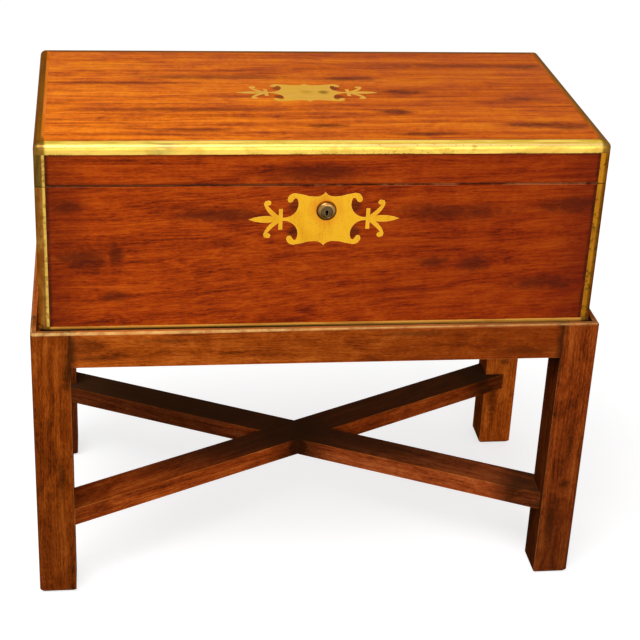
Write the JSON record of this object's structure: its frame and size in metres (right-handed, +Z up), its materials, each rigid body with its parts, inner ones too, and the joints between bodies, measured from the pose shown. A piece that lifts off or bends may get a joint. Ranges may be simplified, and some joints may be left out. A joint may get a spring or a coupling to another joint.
{
  "type": "lap desk on stand",
  "caption": "Brass-bound writing box with a hinged sloping lid, turning lock and fitted inside, seated in a rebated legged stand braced by a crossed stretcher.",
  "frame": {"origin": "on the floor, under the middle of the stand", "axes": "+X along the desk, -Y towards the lock side, +Z up"},
  "size_m": [0.5244, 0.2884, 0.4565],
  "materials": {
    "lid_mahogany": "French-polished mahogany, long straight streaks",
    "case_mahogany": "French-polished figured mahogany, red-brown",
    "stand_mahogany": "polished mahogany with worn pale arrises",
    "inner_mahogany": "plain waxed mahogany",
    "binding_brass": "polished brass edging with spots of patina",
    "plate_brass": "satin golden brass",
    "hinge_brass": "plain brass",
    "lock_metal": "dull bronzed metal",
    "writing_leather": "dark green skiver with a tooled border",
    "ink_glass": "clear cast glass"
  },
  "bodies": {
    "stand": {"back_left_leg": "stand_mahogany", "back_rail": "stand_mahogany", "back_right_leg": "stand_mahogany", "front_left_leg": "stand_mahogany", "front_rail": "stand_mahogany", "front_right_leg": "stand_mahogany", "left_rail": "stand_mahogany", "right_rail": "stand_mahogany", "stretcher_over": "stand_mahogany", "stretcher_under": "stand_mahogany"},
    "desk": {"desk_back_edging": "binding_brass", "desk_back_left_strap": "binding_brass", "desk_back_right_strap": "binding_brass", "desk_back_wall": "case_mahogany", "desk_bottom": "case_mahogany", "desk_flap": "inner_mahogany", "desk_flap_bearers": "inner_mahogany", "desk_flap_leather": "writing_leather", "desk_front_edging": "binding_brass", "desk_front_left_strap": "binding_brass", "desk_front_right_strap": "binding_brass", "desk_front_wall": "case_mahogany", "desk_left_edging": "binding_brass", "desk_left_wall": "case_mahogany", "desk_right_edging": "binding_brass", "desk_right_wall": "case_mahogany", "front_plate": "plate_brass", "hinge_desk_leaves": "hinge_brass", "hinge_pins": "hinge_brass", "ink_bottles": "ink_glass", "ink_caps": "hinge_brass", "ink_dividers": "inner_mahogany", "lock_case": "lock_metal", "lock_nozzle": "lock_metal", "pen_room_divider": "inner_mahogany", "pen_room_shelf": "inner_mahogany", "pen_tray": "inner_mahogany", "tray_bearers": "inner_mahogany"},
    "lid": {"hinge_lid_leaves": "hinge_brass", "lid_back_edging": "binding_brass", "lid_back_left_strap": "binding_brass", "lid_back_right_strap": "binding_brass", "lid_back_wall": "case_mahogany", "lid_flap": "inner_mahogany", "lid_flap_bearers": "inner_mahogany", "lid_flap_leather": "writing_leather", "lid_front_edging": "binding_brass", "lid_front_left_strap": "binding_brass", "lid_front_right_strap": "binding_brass", "lid_front_wall": "case_mahogany", "lid_left_edging": "binding_brass", "lid_left_wall": "case_mahogany", "lid_plate": "plate_brass", "lid_right_edging": "binding_brass", "lid_right_wall": "case_mahogany", "lid_top": "lid_mahogany", "lock_links": "lock_metal"},
    "lock_plug": {"lock_plug": "lock_metal"},
    "lock_bolt": {"lock_bolt": "lock_metal"}
  },
  "joints": [
    {"name": "desk_lift", "type": "slide", "parent": "stand", "child": "desk", "axis": [0, 0, 1], "range_m": [0, 0.25]},
    {"name": "lid_hinge", "type": "hinge", "parent": "desk", "child": "lid", "pos_m": [0, 0.1366, 0.3695], "axis": [-1, 0, 0], "range_deg": [0, 180]},
    {"name": "lock_turn", "type": "hinge", "parent": "desk", "child": "lock_plug", "pos_m": [0, -0.136, 0.3942], "axis": [0, 1, 0], "range_deg": [0, 90]},
    {"name": "lock_bolt_slide", "type": "slide", "parent": "desk", "child": "lock_bolt", "axis": [1, 0, 0], "range_m": [0, 0.006]}
  ],
  "couplings": [
    {"joint": "lock_bolt_slide", "follows": "lock_turn", "m_per_rad": 0.0038197}
  ]
}
